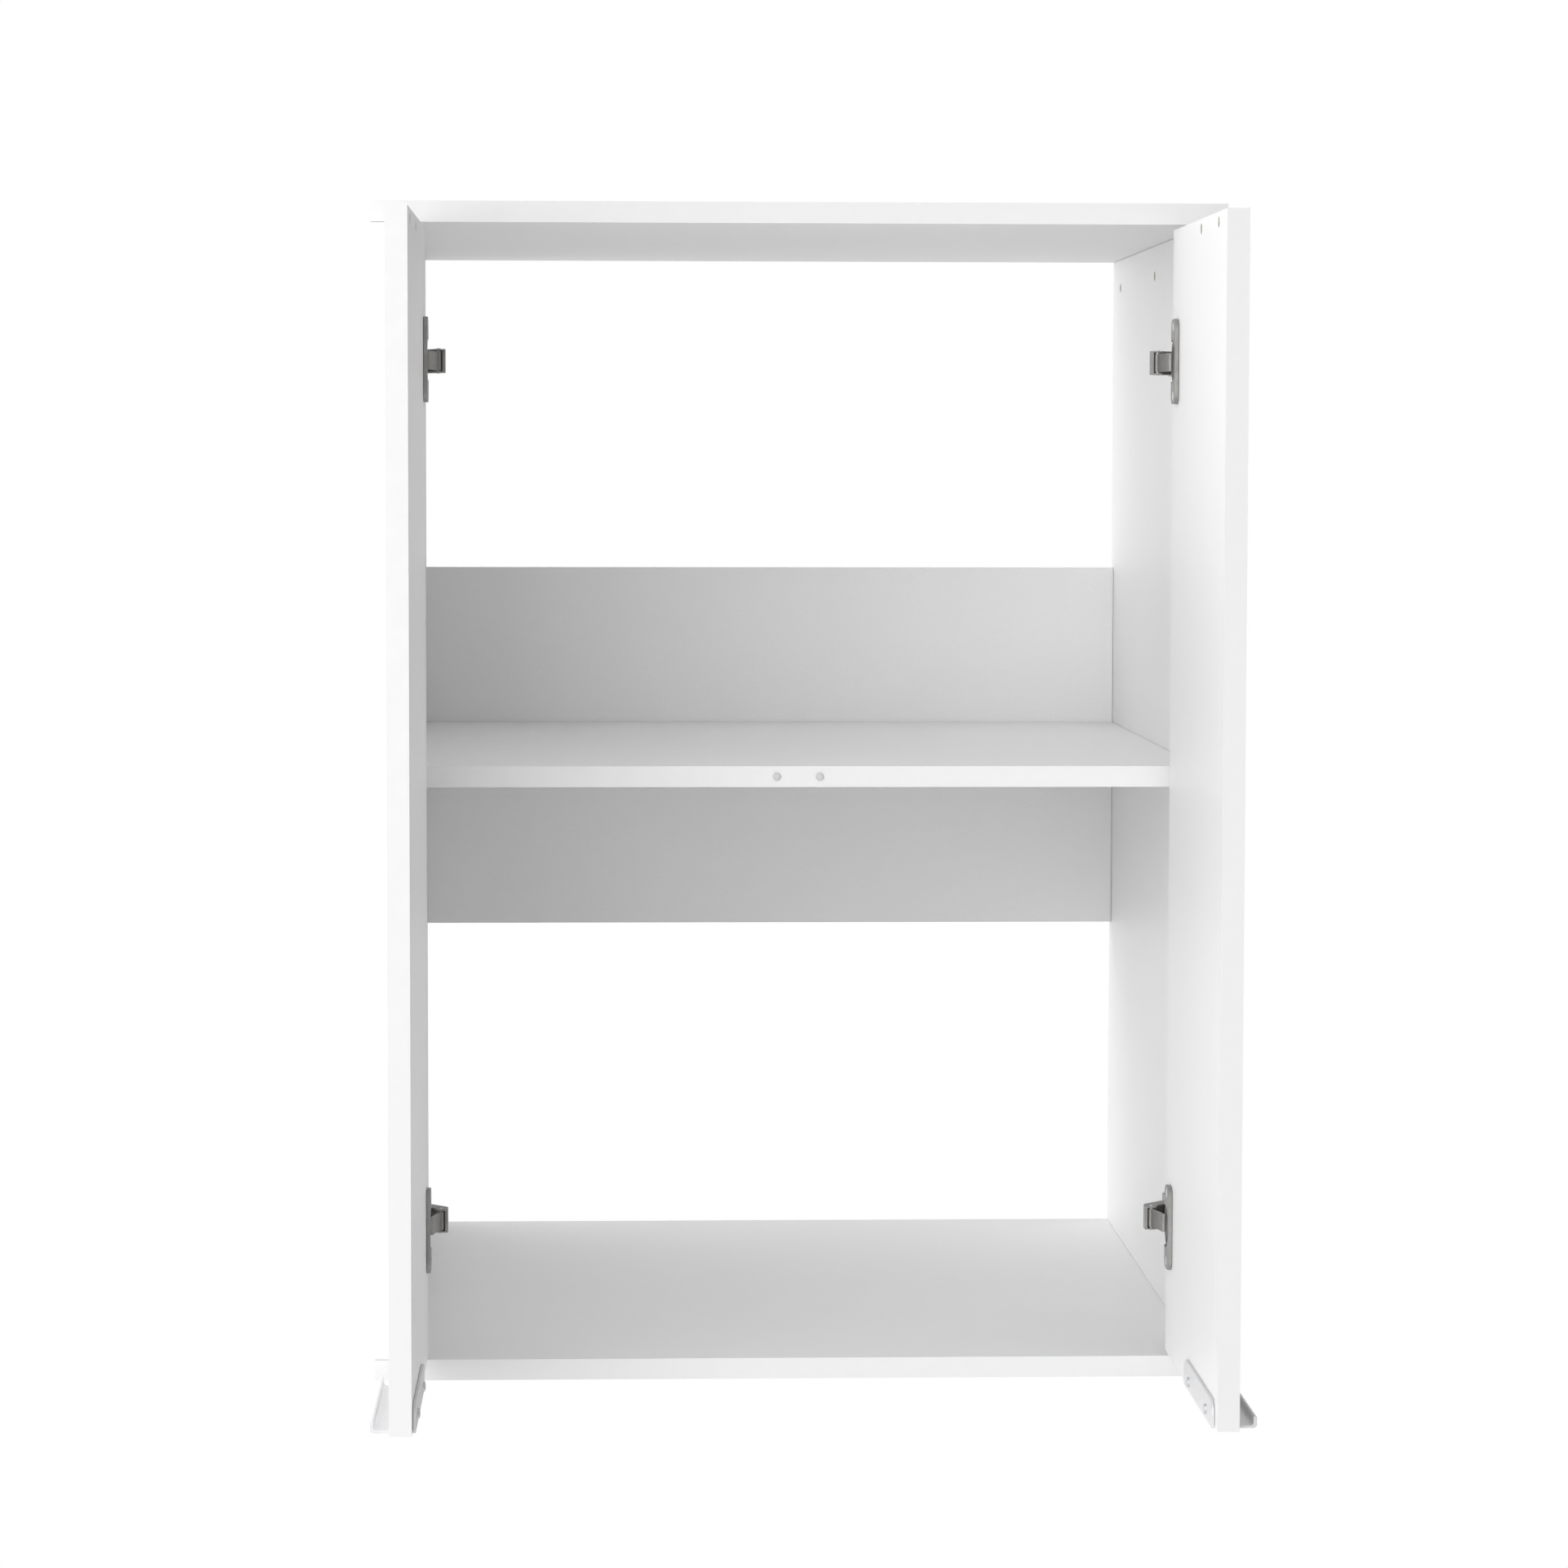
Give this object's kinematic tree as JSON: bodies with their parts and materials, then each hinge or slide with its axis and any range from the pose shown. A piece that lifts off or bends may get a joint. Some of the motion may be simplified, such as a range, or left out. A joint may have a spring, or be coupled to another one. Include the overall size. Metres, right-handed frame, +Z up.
{
  "type": "wall cabinet",
  "caption": "Hanging wall cabinet as deep as it is wide: white board box with an open back, one shelf, a rear mounting panel and two inset doors with edge-grip handles, shown open.",
  "frame": {"origin": "centre of the mounting panel's rear face, the face that lies on the wall", "axes": "+X to the viewer's right facing the open front, +Y into the wall, +Z up; the doors open towards -Y"},
  "size_m": [0.65, 0.9505, 0.9],
  "materials": {
    "white_melamine": "white melamine-faced chipboard with white edge banding, satin",
    "nickel_steel": "nickel-plated pressed steel, satin",
    "anodised_aluminium": "extruded aluminium, clear anodised, fine lengthwise brush",
    "zinc_steel": "zinc-plated steel screws and rivets",
    "grey_plastic": "moulded pale grey polyethylene",
    "beech_dowel": "plain beech, fluted dowel"
  },
  "bodies": {
    "cabinet": {"top_board": "white_melamine", "bottom_board": "white_melamine", "left_side_board": "white_melamine", "right_side_board": "white_melamine", "mounting_panel": "white_melamine", "shelf": "white_melamine", "left_top_dowel_1": "beech_dowel", "left_top_dowel_2": "beech_dowel", "left_bottom_dowel_1": "beech_dowel", "left_bottom_dowel_2": "beech_dowel", "left_panel_dowel_1": "beech_dowel", "left_panel_dowel_2": "beech_dowel", "left_door_buffer": "grey_plastic", "left_front_shelf_support": "nickel_steel", "left_rear_shelf_support": "nickel_steel", "right_top_dowel_1": "beech_dowel", "right_top_dowel_2": "beech_dowel", "right_bottom_dowel_1": "beech_dowel", "right_bottom_dowel_2": "beech_dowel", "right_panel_dowel_1": "beech_dowel", "right_panel_dowel_2": "beech_dowel", "right_door_buffer": "grey_plastic", "right_front_shelf_support": "nickel_steel", "right_rear_shelf_support": "nickel_steel", "left_upper_hinge_arm": "nickel_steel", "left_upper_hinge_pin": "zinc_steel", "left_upper_mounting_plate": "nickel_steel", "left_upper_arm_screw": "zinc_steel", "left_lower_hinge_arm": "nickel_steel", "left_lower_hinge_pin": "zinc_steel", "left_lower_mounting_plate": "nickel_steel", "left_lower_arm_screw": "zinc_steel", "right_upper_hinge_arm": "nickel_steel", "right_upper_hinge_pin": "zinc_steel", "right_upper_mounting_plate": "nickel_steel", "right_upper_arm_screw": "zinc_steel", "right_lower_hinge_arm": "nickel_steel", "right_lower_hinge_pin": "zinc_steel", "right_lower_mounting_plate": "nickel_steel", "right_lower_arm_screw": "zinc_steel"},
    "left_door": {"left_door": "white_melamine", "left_handle": "anodised_aluminium", "left_handle_screw_1": "zinc_steel", "left_handle_screw_2": "zinc_steel", "left_upper_hinge_cup": "nickel_steel", "left_lower_hinge_cup": "nickel_steel"},
    "left_links": {"left_upper_hinge_link": "nickel_steel", "left_lower_hinge_link": "nickel_steel"},
    "right_door": {"right_door": "white_melamine", "right_handle": "anodised_aluminium", "right_handle_screw_1": "zinc_steel", "right_handle_screw_2": "zinc_steel", "right_upper_hinge_cup": "nickel_steel", "right_lower_hinge_cup": "nickel_steel"},
    "right_links": {"right_upper_hinge_link": "nickel_steel", "right_lower_hinge_link": "nickel_steel"}
  },
  "joints": [
    {"name": "left_door_swing", "type": "hinge", "parent": "cabinet", "child": "left_door", "pos_m": [-0.301, -0.651, 0], "axis": [0, 0, 1], "range_deg": [-15, 90]},
    {"name": "right_door_swing", "type": "hinge", "parent": "cabinet", "child": "right_door", "pos_m": [0.301, -0.651, 0], "axis": [0, 0, -1], "range_deg": [-15, 90]},
    {"name": "left_link_turn", "type": "hinge", "parent": "cabinet", "child": "left_links", "pos_m": [-0.2747, -0.6271, 0], "axis": [0, 0, 1], "range_deg": [-37, 7]},
    {"name": "right_link_turn", "type": "hinge", "parent": "cabinet", "child": "right_links", "pos_m": [0.2747, -0.6271, 0], "axis": [0, 0, -1], "range_deg": [-37, 7]}
  ],
  "couplings": [
    {"joint": "left_link_turn", "follows": "left_door_swing", "ratio": -0.4},
    {"joint": "right_link_turn", "follows": "right_door_swing", "ratio": -0.4}
  ]
}
